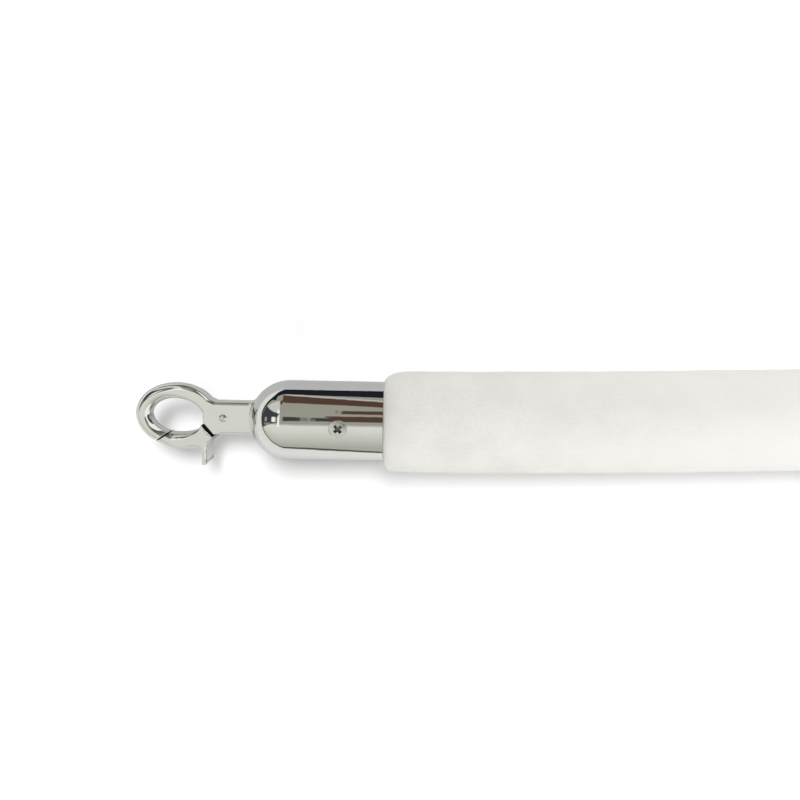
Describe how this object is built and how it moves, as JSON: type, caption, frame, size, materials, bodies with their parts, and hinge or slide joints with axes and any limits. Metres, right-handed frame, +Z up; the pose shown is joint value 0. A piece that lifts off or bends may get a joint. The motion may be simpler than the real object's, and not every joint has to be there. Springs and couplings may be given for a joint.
{
  "type": "velvet barrier rope",
  "caption": "White velvet barrier rope with a domed chrome ferrule and a sprung snap hook on each end, put away as a tied hank; it hangs between posts to close off a space.",
  "frame": {"origin": "on the surface that the rope lies on, under the rope's axis, 40 mm in from the mouth of ferrule A", "axes": "-X along end A from the rope to its hook, +Y across the rope towards the hank's returning run, +Z up"},
  "size_m": [0.7929, 0.232, 0.0303],
  "materials": {
    "polished_chrome": "mirror-polished chrome plate",
    "gate_chrome": "polished chrome plate, a little softer than the ferrule",
    "plated_steel": "bright zinc or nickel plate",
    "spring_steel": "drawn wire",
    "core_plug_wood": "turned, bare",
    "white_velvet": "short-pile velvet with faint lengthwise ribs",
    "tie_tape": "woven tape"
  },
  "bodies": {
    "rope": {"rope_straight": "white_velvet", "rope_hank": "white_velvet", "hank_tie": "tie_tape", "ferrule_a": "polished_chrome", "hook_a": "polished_chrome", "gate_pin_a": "plated_steel", "gate_spring_a": "spring_steel", "stem_washer_a": "plated_steel", "stem_nut_a": "plated_steel", "core_plug_a": "core_plug_wood", "screw_top_a": "plated_steel", "screw_under_a": "plated_steel", "ferrule_b": "polished_chrome", "hook_b": "polished_chrome", "gate_pin_b": "plated_steel", "gate_spring_b": "spring_steel", "stem_washer_b": "plated_steel", "stem_nut_b": "plated_steel", "core_plug_b": "core_plug_wood", "screw_top_b": "plated_steel", "screw_under_b": "plated_steel"},
    "gate_a": {"gate_a": "gate_chrome"},
    "gate_b": {"gate_b": "gate_chrome"}
  },
  "joints": [
    {"name": "gate_a_hinge", "type": "hinge", "parent": "rope", "child": "gate_a", "pos_m": [-0.0896, 0.00059, 0.01292], "axis": [0, -0.2079, 0.9781], "range_deg": [0, 25], "stiffness_Nm_per_rad": 0.05, "springref_deg": -20.05},
    {"name": "gate_b_hinge", "type": "hinge", "parent": "rope", "child": "gate_b", "pos_m": [0.1404, 0.03771, 0.01268], "axis": [0, 0.2079, -0.9781], "range_deg": [0, 25], "stiffness_Nm_per_rad": 0.05, "springref_deg": -20.05}
  ]
}
